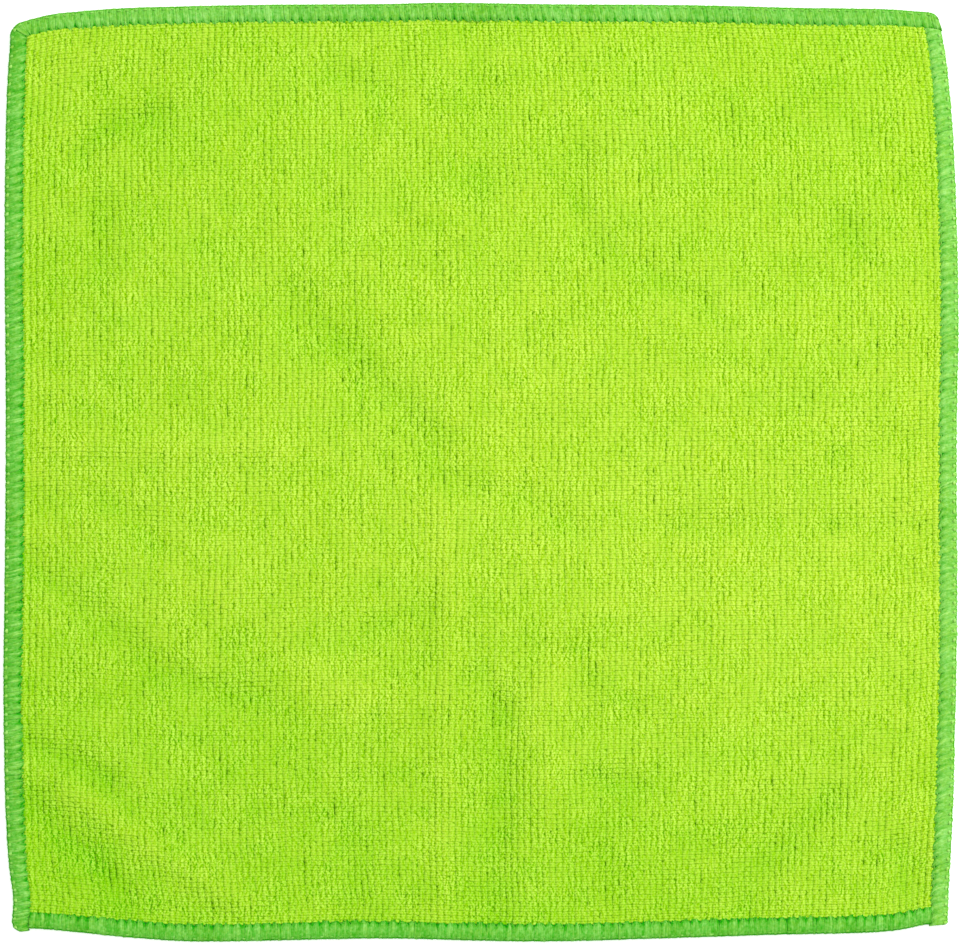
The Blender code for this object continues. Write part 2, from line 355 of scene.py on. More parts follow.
def wander(flat):
    """Flat points with the ribs' small sideways wander, none of it at the seams."""
    inside = np.minimum(flat - WIDTHS["left"], SIDE - WIDTHS["left"] - flat).min(-1)
    calm = np.clip(inside / CALM, 0, 1)
    shift = uneven(flat, (9.0, 11.0), 11) + 0.6 * uneven(flat, (3.0, 5.0), 12)
    moved = flat.copy()
    moved[..., 0] += RIB_WANDER * calm * shift
    moved[..., 1] += 0.5 * RIB_WANDER * calm * uneven(flat, (6.0, 14.0), 13)
    return moved


def put(tree, kind, inputs=(), **settings):
    """Adds a node, its inputs given as values or as sockets to link, and gives its outputs."""
    node = tree.nodes.new(kind)
    for name, value in settings.items():
        setattr(node, name, value)
    for key, value in dict(inputs).items():
        if isinstance(value, bpy.types.NodeSocket):
            tree.links.new(value, node.inputs[key])
        else:
            node.inputs[key].default_value = value
    return node.outputs


def maths(tree, operation, *values):
    """What a sum comes to."""
    return put(tree, "ShaderNodeMath", enumerate(values), operation=operation)[0]


def vector_maths(tree, operation, *values):
    """What a sum of vectors comes to."""
    return put(tree, "ShaderNodeVectorMath", enumerate(values), operation=operation)[0]


def combined(tree, x=0.0, y=0.0, z=0.0):
    """A vector put together from its parts."""
    return put(tree, "ShaderNodeCombineXYZ", {"X": x, "Y": y, "Z": z})[0]


def ranged(tree, value, low, high, new_low=0.0, new_high=1.0):
    """A value moved from one range to another, and held inside it."""
    ends = {"From Min": low, "From Max": high, "To Min": new_low, "To Max": new_high}
    return put(tree, "ShaderNodeMapRange", {"Value": value, **ends})[0]


def noise(tree, place, scale, detail, roughness=0.5):
    """Soft noise from 0 to 1."""
    values = {"Vector": place, "Scale": scale, "Detail": detail, "Roughness": roughness}
    return put(tree, "ShaderNodeTexNoise", values)[0]


def mixed(tree, factor, low, high):
    """A number between two others."""
    return put(tree, "ShaderNodeMix", {"Factor": factor, 2: low, 3: high})[0]


def shaded(tree, factor, low, high, **settings):
    """A colour between two others."""
    return put(tree, "ShaderNodeMix", {"Factor": factor, 6: low, 7: high}, data_type="RGBA", **settings)[2]


def attribute(tree, name):
    """A mesh's own number at each point."""
    return put(tree, "ShaderNodeAttribute", attribute_name=name)["Fac"]


def new_group(name, kind, sockets_in, sockets_out):
    """An empty node group with named sockets, given as {name: type}."""
    group = bpy.data.node_groups.new(name, kind)
    for in_out, sockets in (("INPUT", sockets_in), ("OUTPUT", sockets_out)):
        for socket, socket_kind in sockets.items():
            group.interface.new_socket(name=socket, in_out=in_out, socket_type="NodeSocket" + socket_kind)
    return group, group.nodes.new("NodeGroupInput").outputs, group.nodes.new("NodeGroupOutput").inputs


TUFTS = 0.45  # the grain of the fibres' tufts, as a share of the fibres' own
TUFT_SHARE = 0.6  # of the fuzz's height
SPECKLE_RANGE = (0.38, 0.62)


def fibre_fuzz_group():
    """Fine split fibres, as a height and as a light and dark speckle that follows the height, drawn out along
    Z: partly the fibres' own uneven tone, partly painted light on their tips and painted shade between them.
    """
    group, given, result = new_group(
        "fibre_fuzz", "ShaderNodeTree", {"Vector": "Vector", "Grain": "Float", "Draw Out": "Float"},
        {"Height": "Float", "Speckle": "Float"},
    )
    drawn = vector_maths(group, "MULTIPLY", given["Vector"], combined(group, 1.0, 1.0, given["Draw Out"]))
    fibres = noise(group, drawn, given["Grain"], detail=3.0, roughness=0.6)
    tufts = noise(group, drawn, maths(group, "MULTIPLY", given["Grain"], TUFTS), detail=1.0)
    height = mixed(group, TUFT_SHARE, fibres, tufts)
    group.links.new(height, result["Height"])
    group.links.new(ranged(group, height, *SPECKLE_RANGE), result["Speckle"])
    return group


# Where the colour is deepened, by the yarn's own mottle and by painted shade, less blue and red comes back
# than green, and most of a fleck is in its blue. Columns: red, green, blue.
DEEPENED = (-0.19, -0.05, -0.38)
FLECKED = (1.3, 0.8, 6.0)


def dye_and_shade_group():
    """The yarn's colour: lightened and darkened in broad, soft clouds and in flecks, and deepened by the Deep
    input, which carries painted shade as well as the yarn's own mottle.
    """
    group, given, result = new_group(
        "dye", "ShaderNodeTree",
        {
            "Color": "Color", "Vector": "Vector", "Cloud Size": "Float", "Amount": "Float",
            "Speckle": "Float", "Speckle Amount": "Float", "Deep": "Float",
        },
        {"Color": "Color"},
    )
    cloud = noise(group, given["Vector"], maths(group, "DIVIDE", 1.0, given["Cloud Size"]), detail=1.0)
    clouded = maths(group, "MULTIPLY", maths(group, "SUBTRACT", cloud, 0.5), given["Amount"])
    fleck = maths(group, "SUBTRACT", given["Speckle"], 0.5)
    fleck = maths(group, "MULTIPLY_ADD", fleck, given["Speckle Amount"], clouded)
    mottled_and_shaded = vector_maths(group, "MULTIPLY_ADD", given["Deep"], DEEPENED, (1.0, 1.0, 1.0))
    channels = vector_maths(group, "MULTIPLY_ADD", fleck, FLECKED, mottled_and_shaded)
    group.links.new(vector_maths(group, "MULTIPLY", given["Color"], channels), result["Color"])
    return group


fibre_fuzz = fibre_fuzz_group()
dye = dye_and_shade_group()


def fuzzed(tree, place, grain, drawn=1.0):
    """The height and the speckle of fine fibres."""
    values = {"Vector": place, "Grain": grain, "Draw Out": drawn}
    return put(tree, "ShaderNodeGroup", values, node_tree=fibre_fuzz)


def new_fabric(name, roughness, sheen, sheen_tint):
    """A fabric material with its constants set on its shader, its tree, and object coordinates."""
    material = bpy.data.materials.new(name)
    material.use_nodes = True
    tree = material.node_tree
    set_inputs(
        tree.nodes["Principled BSDF"],
        {
            "Roughness": roughness, "Specular IOR Level": 0.03,
            "Sheen Weight": sheen, "Sheen Roughness": 0.5, "Sheen Tint": sheen_tint,
        },
    )
    return material, tree, put(tree, "ShaderNodeTexCoord")["Object"]


def finish_fabric(tree, dye_and_shade_inputs, height, strength, depth):
    """Leads a fabric's colour, with its painted light and shade, and its fine relief to its shader."""
    shader = tree.nodes["Principled BSDF"].inputs
    dyed_and_shaded = put(tree, "ShaderNodeGroup", dye_and_shade_inputs, node_tree=dye)
    tree.links.new(dyed_and_shaded["Color"], shader["Base Color"])
    bump = put(tree, "ShaderNodeBump", {"Strength": strength, "Distance": depth, "Height": height})
    tree.links.new(bump[0], shader["Normal"])


def add_mesh(name, points_mm, faces):
    """A smooth object at the origin with its place in its mesh."""
    mesh = bpy.data.meshes.new(name)
    mesh.from_pydata(np.asarray(points_mm) * MM, [], faces)
    mesh.shade_smooth()
    return add_object(name, mesh)


def set_attribute(made, name, values):
    """A number for each point of an object."""
    layer = made.data.attributes.new(name, "FLOAT", "POINT")
    layer.data.foreach_set("value", np.asarray(values, np.float32).ravel())


# The terry's painted shade, for the loops' feet and the ground's grooves and pressed margin
TERRY_PAINTED_SHADE = (0.225, 0.565, 0.002, 1.0)
TERRY_GROUND = (0.345, 0.695, 0.005, 1.0)
TERRY_CLOUDS = {"Cloud Size": 0.035, "Amount": 0.08}
KNIT_COURSES = 383.0  # from edge to edge
COURSE_RELIEF = 0.35  # of the fuzz's


def ground_material():
    """The knit between the loops: ribs and courses in the cloth's own flat measure, its grooves and pressed
    margin darkened with painted shade.
    """
    material, tree, place = new_fabric("terry_ground", 0.9, 0.08, (0.7, 1.0, 0.2, 1.0))
    fuzz = fuzzed(tree, place, grain=4500.0)
    dye_and_shade_inputs = {
        "Color": shaded(tree, attribute(tree, "groove"), TERRY_GROUND, TERRY_PAINTED_SHADE),
        "Vector": place, **TERRY_CLOUDS,
        "Speckle": fuzz["Speckle"], "Speckle Amount": 0.25,
        "Deep": attribute(tree, "deep"),
    }
    flat = put(tree, "ShaderNodeUVMap", uv_map="flat")[0]
    up_cloth = put(tree, "ShaderNodeSeparateXYZ", {0: flat})["Y"]
    course = maths(tree, "COSINE", maths(tree, "MULTIPLY", up_cloth, 2 * math.pi * KNIT_COURSES))
    height = maths(tree, "MULTIPLY_ADD", course, COURSE_RELIEF, fuzz["Height"])
    finish_fabric(tree, dye_and_shade_inputs, height, strength=0.6, depth=0.0002)
    return material


def make_ground():
    """The knit: a closed sheet whose ribs run up it, with its margin pressed thin all round."""
    grooves = TERRY_LEFT + RIB_PITCH * np.arange(RIBS)
    ribs = (grooves[:, None] + RIB_PITCH * np.array(RIB_PHASES)).ravel()
    in_groove = np.tile(np.array(RIB_PHASES) == 0.0, RIBS)
    ends = [TERRY_RIGHT, SIDE - PRESSED_LINE_RIGHT, SIDE - CUT_BACK]
    columns = np.concatenate([[CUT_BACK, PRESSED_LINE], ribs, ends])
    in_groove = np.pad(in_groove, (2, 3), constant_values=True)
    rows = np.linspace(TERRY_BOTTOM + SHOULDER, TERRY_TOP - SHOULDER, LENGTHWISE_CELLS + 1)
    ends = [TERRY_TOP, SIDE - PRESSED_LINE, SIDE - CUT_BACK]
    rows = np.concatenate([[CUT_BACK, PRESSED_LINE, TERRY_BOTTOM], rows, ends])
    flat = np.stack(np.meshgrid(columns, rows), -1)
    cut = CORNER_CUT, SIDE - CORNER_CUT
    flat[np.ix_((0, -1), (0, -1))] = np.stack(np.meshgrid(cut, cut), -1)
    place = lie(wander(flat))
    up, under = relief(place), lift(place)
    pressed = np.ones(flat.shape[:2], bool)
    pressed[3:-3, 3:-3] = False
    groove = np.broadcast_to(in_groove, flat.shape[:2])
    top = np.where(pressed, under + MARGIN_TOP, SHEET_HEIGHT + up - GROUND_BELOW - GROOVE_DEPTH * groove)
    low = np.where(pressed, under + MARGIN_UNDER, under + UNDER_GROOVE * groove)
    count = place[..., 0].size
    points = np.concatenate([np.dstack([place, up]).reshape(-1, 3) for up in (top, low)])
    index = np.arange(count).reshape(flat.shape[:2])
    upper = np.stack([index[:-1, :-1], index[:-1, 1:], index[1:, 1:], index[1:, :-1]], -1).reshape(-1, 4)
    lower = upper[:, ::-1] + count
    rim = np.concatenate([index[0, :-1], index[:-1, -1], index[-1, :0:-1], index[:0:-1, 0]])
    ahead = np.roll(rim, -1)
    walls = np.stack([rim, rim + count, ahead + count, ahead], -1)
    made = add_mesh("terry_ground", points, np.concatenate([upper, lower, walls]).tolist())
    # Painted shade in the grooves and on the pressed margin; the colour's depth is the yarn's own mottle with
    # painted shade and light
    set_attribute(made, "groove", np.tile((groove | pressed).astype(float).ravel(), 2))
    set_attribute(made, "deep", np.tile(dye_and_shade_depth(place).ravel(), 2))
    layer = made.data.uv_layers.new(name="flat")
    corner = np.empty(len(made.data.loops), np.int32)
    made.data.loops.foreach_get("vertex_index", corner)
    layer.uv.foreach_set("vector", (flat.reshape(-1, 2)[corner % count] / SIDE).astype(np.float32).ravel())
    made.data.materials.append(ground_material())
    return made


ground = make_ground()
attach(ground, "root")
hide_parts("cloth")


# ----------------------------------------------------------
# The terry pile.
# Loops of split microfibre yarn stand on the ground in ribs, one loop at each course. Washing
# has made them soft and uneven: here and there they have parted and the groove beside shows.

COURSES = 369
COURSE_PITCH = (TERRY_TOP - TERRY_BOTTOM) / COURSES
LOOP_LENGTH = 2.30  # of a course, so that each loop overlaps the next
LOOP_RISE = 0.44
LOOP_SINK = 0.06  # of the loop's foot in the ground
LOOP_SPREAD = 1.29  # of the rib's pitch
PARTED = 0.46  # how much narrower a loop is where the pile has parted
LOOP_JITTER = (0.07, 0.08)
LOOP_LEAN = 0.07
LOOP_TURN = 0.18
LOOP_UNEVENNESS = 0.10
ZIGZAG = (0.02, 0.07)  # each loop lies to one side, the next to the other: shift and turn
ALTERNATE = 0.20  # every second course stands a little higher
BESIDE_SEAM = 0.35
# How far the pile parts everywhere, and how much more in patches, dashes, flecks and creases
AT_REST, IN_PATCHES, IN_DASHES, IN_FLECKS, IN_CREASES = 0.05, 0.09, 0.14, 0.42, 0.19
TERRY_LIGHT = (0.455, 0.702, 0.046, 1.0)

# A loop seen from its own end: a flat foot and an arched back. Columns: across, along, up.
LOOP_POINTS = (
    (-0.5, -0.5, 0.0), (0.5, -0.5, 0.0), (0.5, 0.5, 0.0), (-0.5, 0.5, 0.0),
    (-0.37, 0.0, 0.80), (0.0, 0.0, 1.0), (0.37, 0.0, 0.80),
)
LOOP_FACES = (
    (3, 2, 1, 0),
    (0, 1, 5), (0, 5, 4), (1, 6, 5),
    (2, 3, 5), (2, 5, 6), (3, 4, 5),
    (1, 2, 6), (3, 0, 4),
)


def parted(flat, rib):
    """From 0 to 1, how far the pile has parted at each loop: in dashes, crowded along creases."""
    patches = 0.5 * uneven(flat, (26.0, 19.0), 21) + uneven(flat, (9.0, 7.0), 22)
    up_rib = np.stack([rib, flat[..., 1]], -1)
    dashes, flecks = uneven(up_rib, (1.0, 2.6), 23), uneven(up_rib, (1.0, 1.0), 24)
    creased = np.clip(-relief(lie(flat)), -0.6, 1.0)
    open_by = AT_REST + IN_PATCHES * patches + IN_DASHES * dashes + IN_FLECKS * flecks + IN_CREASES * creased
    return np.clip(open_by, 0, 1)


def loop_places(first, last):
    """A point for each loop of these ribs, with its turn, width and rise."""
    rib = np.arange(first, last)
    course = np.arange(COURSES)
    x = TERRY_LEFT + RIB_PITCH * (rib + 0.5)
    y = TERRY_BOTTOM + COURSE_PITCH * (course + 0.5)
    # The loops beside a seam are pressed up against it
    x = x + 0.5 * BESIDE_SEAM * ((rib == RIBS - 1).astype(float) - (rib == 0))
    y = y + BESIDE_SEAM * (np.exp((course + 1 - COURSES) / 4) - np.exp(-course / 4))
    flat = np.stack(np.meshgrid(x, y), -1)
    number = np.broadcast_to(rib, flat.shape[:2]).astype(float)
    at_side = (number == 0) | (number == RIBS - 1)
    open_right, open_left = parted(flat, number), parted(flat, number - 1)
    gap = PARTED * RIB_PITCH
    width = LOOP_SPREAD * RIB_PITCH - gap * (open_left + open_right) / 2
    width += BESIDE_SEAM * at_side
    flat[..., 0] += gap * (open_left - open_right) / 4
    jitter = np.random.default_rng(first + 31).uniform(-1, 1, flat.shape)
    flat += jitter * np.array(LOOP_JITTER)
    side = np.where(course % 2, 1.0, -1.0)[:, None]
    flat[..., 0] += ZIGZAG[0] * side
    place = lie(wander(flat))
    beside = lie(wander(flat + (0.5, 0.0)))
    turn = np.arctan2(*(beside - place)[..., ::-1].transpose(2, 0, 1)) + ZIGZAG[1] * side
    crowded = 1.0 + 0.4 * uneven(flat, (8.0, 6.0), 25)
    beside_seam = at_side | ((course < 1) | (course > COURSES - 2))[:, None]
    rise = LOOP_RISE * (1.0 + 0.2 * beside_seam + ALTERNATE * crowded * side)
    foot = SHEET_HEIGHT + relief(place) - GROUND_BELOW - LOOP_SINK
    made = add_mesh("loop_places", np.dstack([place, foot]).reshape(-1, 3), [])
    # The colour's depth at each loop: the yarn's own mottle, with painted shade in troughs and painted shade
    # and light in broad clouds
    for name, values in (
        ("turn", turn), ("width", width * MM), ("rise", rise * MM), ("deep", dye_and_shade_depth(place))
    ):
        set_attribute(made, name, values)
    return made


def random_number(tree, given, step, low=-1.0):
    """A random number up to 1 for each element, from the tree's seed and its own step."""
    seed = put(tree, "FunctionNodeIntegerMath", {0: given["Seed"], 1: step}, operation="ADD")[0]
    return put(tree, "FunctionNodeRandomValue", {2: low, 3: 1.0, "Seed": seed}, data_type="FLOAT")[1]


def swing(tree, given, amount, step):
    """A random number for each element, within this much of zero."""
    return maths(tree, "MULTIPLY", random_number(tree, given, step), given[amount])


# What the trees of the loops and of the stitches both take
STANDING = {
    "Geometry": "Geometry", "Form": "Object", "Turn": "Float", "Unevenness": "Float", "Seed": "Int",
    "Yarn": "Material",
}


def stand(tree, given, result, points, rotation, scale, step):
    """Ends a tree: its form stands on each point with its own tint, as one mesh of the yarn."""
    form = put(tree, "GeometryNodeObjectInfo", {"Object": given["Form"]}, transform_space="ORIGINAL")
    stood = put(
        tree,
        "GeometryNodeInstanceOnPoints",
        {"Points": points, "Instance": form["Geometry"], "Rotation": rotation, "Scale": scale},
    )
    tinted = put(
        tree,
        "GeometryNodeStoreNamedAttribute",
        {"Geometry": stood[0], "Name": "tint", "Value": random_number(tree, given, step, low=0.0)},
        data_type="FLOAT",
        domain="INSTANCE",
    )
    real = put(tree, "GeometryNodeRealizeInstances", {"Geometry": tinted[0]})
    dressed = put(tree, "GeometryNodeSetMaterial", {"Geometry": real[0], "Material": given["Yarn"]})
    tree.links.new(dressed[0], result["Geometry"])


ROLL = 1.5  # how much more a loop rolls sideways than it leans


def pile_tree():
    """Stands one loop on each point, turned, leaning and swollen a little at random."""
    tree, given, result = new_group(
        "terry_pile", "GeometryNodeTree", {**STANDING, "Length": "Float", "Lean": "Float"},
        {"Geometry": "Geometry"},
    )
    own = {
        name: put(tree, "GeometryNodeInputNamedAttribute", {"Name": name}, data_type="FLOAT")[0]
        for name in ("turn", "width", "rise")
    }

    def swollen(size, step):
        return maths(tree, "MULTIPLY", size, maths(tree, "ADD", swing(tree, given, "Unevenness", step), 1.0))

    rotation = combined(
        tree,
        swing(tree, given, "Lean", 1),
        maths(tree, "MULTIPLY", swing(tree, given, "Lean", 2), ROLL),
        maths(tree, "ADD", own["turn"], swing(tree, given, "Turn", 3)),
    )
    scale = combined(tree, own["width"], swollen(given["Length"], 5), swollen(own["rise"], 6))
    stand(tree, given, result, given["Geometry"], rotation, scale, 7)
    return tree


def grown(source, tree, values, name):
    """The plain mesh that a tree makes on an object, as a new object; the source is removed."""
    modifier = source.modifiers.new(name, "NODES")
    modifier.node_group = tree
    for socket in tree.interface.items_tree:
        if socket.item_type == "SOCKET" and socket.in_out == "INPUT" and socket.name in values:
            modifier[socket.identifier] = values[socket.name]
    bpy.context.view_layer.update()
    seen = source.evaluated_get(bpy.context.evaluated_depsgraph_get())
    mesh = bpy.data.meshes.new_from_object(seen)
    mesh.name = name
    bpy.data.objects.remove(source)
    return add_object(name, mesh)


FIBRE_APART = (0.0005, 0.0, 0.0)


def yarn_material():
    """The loops' yarn: dark at the foot with painted shade, bright on the back, each loop a little different.
    """
    material, tree, place = new_fabric("terry_yarn", 0.9, 0.10, (0.7, 1.0, 0.05, 1.0))
    # The fibres lie along the ribs, and one is painted lighter where it stands above the one beside it:
    # painted light and shade on the fibres
    split = put(tree, "ShaderNodeSeparateXYZ", {0: place})
    along_rib = combined(tree, split["X"], split["Z"], split["Y"])
    aside = vector_maths(tree, "ADD", along_rib, FIBRE_APART)
    height, beside = (fuzzed(tree, at, grain=3300.0, drawn=0.6)["Height"] for at in (along_rib, aside))
    fibres = ranged(tree, maths(tree, "SUBTRACT", height, beside), -0.25, 0.07, 0.0, 0.68)
    # Painted shade: each loop runs from a shaded foot to its bright back
    back = ranged(tree, attribute(tree, "up"), 0.1, 1.0)
    # In some patches washing has roughed the fibres up more than in others
    roughed = ranged(tree, noise(tree, place, scale=110.0, detail=1.0), 0.3, 0.7, 0.45, 1.25)
    dye_and_shade_inputs = {
        "Color": shaded(tree, back, TERRY_PAINTED_SHADE, TERRY_LIGHT),
        "Vector": place, **TERRY_CLOUDS,
        "Speckle": mixed(tree, 0.10, fibres, attribute(tree, "tint")), "Speckle Amount": roughed,
        "Deep": attribute(tree, "deep"),
    }
    finish_fabric(tree, dye_and_shade_inputs, height, strength=0.7, depth=0.00025)
    return material


loop_form = add_mesh("loop_form", np.array(LOOP_POINTS) / MM, LOOP_FACES)
# Each point's height on the loop, for the painted shade at its foot
set_attribute(loop_form, "up", [point[2] for point in LOOP_POINTS])
pile_nodes = pile_tree()
yarn = yarn_material()
for number, (name, first, last) in enumerate(
    (("pile_left", 0, 48), ("pile_middle", 48, 96), ("pile_right", 96, RIBS))
):
    values = {
        "Form": loop_form, "Length": LOOP_LENGTH * COURSE_PITCH * MM, "Lean": LOOP_LEAN, "Turn": LOOP_TURN,
        "Unevenness": LOOP_UNEVENNESS, "Seed": 100 * number + 5, "Yarn": yarn,
    }
    part = grown(loop_places(first, last), pile_nodes, values, name)
    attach(part, "root")
bpy.data.objects.remove(loop_form)


# ----------------------------------------------------------
# The overlocked edges.
# Woolly looper thread wraps each cut edge from the needle line on the face, round the edge, to
# the needle line beneath. Each stitch is two soft strands, the needle's thread and an edge loop.

SEAM_HEIGHT = 2.8
SEAM_CROWN = 0.15
SEAM_EASE = 0.8
PULLED_DOWN = 0.32  # how far the needle's thread draws the seam down at its own line
PULLED_OVER = 0.9
SKIN = 0.5
CORE_BELOW = 0.22  # the layer of thread under the strands, beneath their outer faces
PIT_SHADE = -0.35  # painted shade: how much darker than the deepest thread the holes along the needle line are painted

# How a seam ends at a corner of the square: how far its outer face and its needle line reach
# past the corner (below zero is short of it), the radius and angle of the round it covers, and
# how much of its needle line the next seam's thread covers.
End = namedtuple("End", "reach needle radius wrap covered", defaults=(0.0,))
SLIT = 0.06  # between one seam and the next
MITRE = 0.7 * SLIT
MITRED = 45  # degrees of the round that each of two mitred seams covers
FAN = 1.2  # how far before its end a needle line begins to turn
ROUND_STEPS = 10
RUN_LINE = 0.15  # how far in a seam's run is measured, as a share of its width


def butt(neighbour):
    """An end that stops against the needle line of a seam that runs through the corner."""
    reach = -WIDTHS[neighbour] - SLIT
    return End(reach, reach, radius=0, wrap=0)


def mitre(neighbour):
    """An end that shares a rounded corner with the next seam."""
    return End(-MITRE, -WIDTHS[neighbour] - MITRE, radius=4.0, wrap=MITRED)


ENDS = {
    "bottom": (butt("left"), butt("right")),
    "right": (End(0.1, 0.3, radius=0.9, wrap=75), butt("top")),
    "top": (End(-0.35, 0.0, radius=2.2, wrap=72, covered=5.5), mitre("left")),
    "left": (mitre("top"), End(0.9, 0.4, radius=4.0, wrap=75, covered=5.5)),
}


def travelled(path):
    """How far along a path each of its points lies."""
    return np.concatenate([[0], np.cumsum(np.linalg.norm(np.diff(path, axis=0), axis=1))])


def between(at, stops, rows):
    """Pairs of numbers at these distances, on straight lines between the rows at the stops."""
    return np.stack([np.interp(at, stops, rows[:, k]) for k in (0, 1)], -1)


def end_round(end):
    """Pairs of points that an end's outer face and needle line run through together."""
    centre = end.reach - end.radius
    needle_start = min(centre, end.needle - FAN)
    part = np.linspace(0, 1, ROUND_STEPS + 1) if end.radius else np.ones(1)
    angle = math.radians(end.wrap) * part
    outer = np.stack([centre + end.radius * np.sin(angle), end.radius * (1 - np.cos(angle))], -1)
    return outer, needle_start + (end.needle - needle_start) * part


def seam_rulings(edge):
    """Lines across a seam, outer face to needle line, and how far along it each one is."""
    width = WIDTHS[edge]
    (start_outer, start_needle), (end_outer, end_needle) = map(end_round, ENDS[edge])
    start_outer, start_needle = start_outer[::-1] * (-1, 1), -start_needle[::-1]
    end_outer, end_needle = end_outer + (SIDE, 0), SIDE + end_needle
    low = max(start_outer[-1, 0], start_needle[-1]) + SLIT
    high = min(end_outer[0, 0], end_needle[0]) - SLIT
    straight = np.linspace(low, high, 120)
    outer = np.concatenate([start_outer, np.stack([straight, 0 * straight], -1), end_outer])
    needle = np.concatenate([start_needle, straight, end_needle])
    needle = np.stack([needle, np.full(len(needle), width)], -1)
    return outer, needle, travelled((1 - RUN_LINE) * outer + RUN_LINE * needle)


def lay_on_edge(edge, points):
    """Points of a straight seam (along, in from the outer face, up) laid along a cloth's edge."""
    # Past its last ruling a strand goes straight on
    outer, needle, run = (
        np.concatenate([2 * row[:1] - row[1:2], row, 2 * row[-1:] - row[-2:-1]])
        for row in seam_rulings(edge)
    )
    far, near = between(points[:, 0], run, outer), between(points[:, 0], run, needle)
    flat = far + (near - far) * (points[:, 1] / WIDTHS[edge])[:, None]
    angle = math.pi / 2 * EDGES.index(edge)
    turn = np.array([(math.cos(angle), -math.sin(angle)), (math.sin(angle), math.cos(angle))])
    place = lie((flat - SIDE / 2) @ turn.T + SIDE / 2)
    return np.column_stack([place, points[:, 2] + lift(place)])


def unit(rows):
    """Rows of numbers, each made a direction."""
    return rows / np.linalg.norm(rows, axis=1)[:, None]


def seam_section(width, inset):
    """The seam's section, from the lower lip round the edge to the upper lip, this far inside."""
    nook = SEAM_EASE * (1 - math.sqrt(0.5))
    points = np.array([
        (width, 0.3), (width - PULLED_OVER, 0.0), (width / 2, 0.0), (SEAM_EASE, 0.0), (nook, nook),
        (0.0, SEAM_HEIGHT / 2), (nook, SEAM_HEIGHT - nook), (SEAM_EASE, SEAM_HEIGHT),
        (width / 2, SEAM_HEIGHT + SEAM_CROWN), (width - PULLED_OVER, SEAM_HEIGHT + 0.05),
        (width, SEAM_HEIGHT - PULLED_DOWN),
    ])
    run = unit(np.gradient(points, axis=0))
    normal = np.stack([-run[:, 1], run[:, 0]], -1)
    return points - normal * inset, normal


THREAD_DEEP = (0.046, 0.370, 0.006, 1.0)
THREAD_PALE = (0.320, 0.670, 0.088, 1.0)
FILAMENTS_APART = 40.0  # so that no two strands have the same filaments


def thread_material():
    """Woolly looper thread: filaments that lie along each strand, with painted shade, deep green, between
    them and on each strand's flanks.
    """
    material, tree, place = new_fabric("overlock_thread", 0.8, 0.12, (0.8, 1.0, 0.6, 1.0))
    own = {name: attribute(tree, name) for name in ("round", "along", "tint", "up", "pale")}
    apart = maths(tree, "MULTIPLY", own["tint"], FILAMENTS_APART)
    filament = combined(tree, own["round"], apart, own["along"])
    filaments = fuzzed(tree, filament, grain=2.6, drawn=0.65)
    fuzz = fuzzed(tree, place, grain=2600.0)
    fleck = maths(tree, "MULTIPLY_ADD", filaments["Speckle"], 0.36, -0.25)
    mottle = maths(tree, "MULTIPLY_ADD", own["tint"], 0.26, fleck)
    # The strands' lightness, with painted light and shade, and the thread's own mottle
    paleness = maths(tree, "ADD", own["pale"], mottle)
    # Painted shade on each strand's flanks, painted light on its top
    flank = ranged(tree, own["up"], 0.1, 0.7, 0.0, 0.5)
    dye_and_shade_inputs = {
        "Color": shaded(tree, paleness, THREAD_DEEP, THREAD_PALE, clamp_factor=False),
        "Vector": place, "Cloud Size": 0.010, "Amount": 0.30,
        "Speckle": maths(tree, "MULTIPLY_ADD", fuzz["Speckle"], 0.5, flank), "Speckle Amount": 0.4,
    }
    height = maths(tree, "ADD", filaments["Height"], fuzz["Height"])
    finish_fabric(tree, dye_and_shade_inputs, height, strength=0.6, depth=0.0002)
    return material


STRAND_SIDES = 5


def tube_faces(steps, around):
    """The faces between each ring of points and the next."""
    return [
        (ring + turn, ring + ahead, ring + ahead + around, ring + turn + around)
        for ring in range(0, (steps - 1) * around, around)
        for turn, ahead in ((turn, (turn + 1) % around) for turn in range(around))
    ]


def swept(name, centre, facing, across, thick, pale):
    """A closed soft strand along a path, wide across its facing, with its own measures."""
    run = unit(np.gradient(centre, axis=0))
    side = unit(np.cross(run, facing))
    facing = np.cross(side, run)
    angle = 2 * math.pi * np.arange(STRAND_SIDES) / STRAND_SIDES
    steps = len(centre)
    across, thick = (np.broadcast_to(size, steps)[:, None] for size in (across, thick))
    ring = (
        centre[:, None]
        + (side * across)[:, None] * np.cos(angle)[:, None]
        + (facing * thick)[:, None] * np.sin(angle)[:, None]
    )
    points = np.concatenate([ring.reshape(-1, 3), centre[:1], centre[-1:]])
    tail, head, last = steps * STRAND_SIDES, steps * STRAND_SIDES + 1, (steps - 1) * STRAND_SIDES
    faces = tube_faces(steps, STRAND_SIDES)
    for turn in range(STRAND_SIDES):
        ahead = (turn + 1) % STRAND_SIDES
        faces += [(tail, ahead, turn), (head, last + turn, last + ahead)]
    made = add_mesh(name, points, faces)
    run = travelled(centre)
    # up is how far each point faces upwards, for the painted shade on the strands' flanks; the last measure
    # is the strand's lightness, with painted light and shade
    for measure, values, ends in (
        ("along", np.repeat(run, STRAND_SIDES), run[[0, -1]]),
        ("round", np.tile(np.sin(angle / 2), steps), [0, 0]),
        ("up", np.tile(0.5 + 0.5 * np.sin(angle), steps), [0, 0]),
        ("pale", np.repeat(pale, STRAND_SIDES), pale[[0, -1]]),
    ):
        set_attribute(made, measure, np.append(values, ends))
    return made


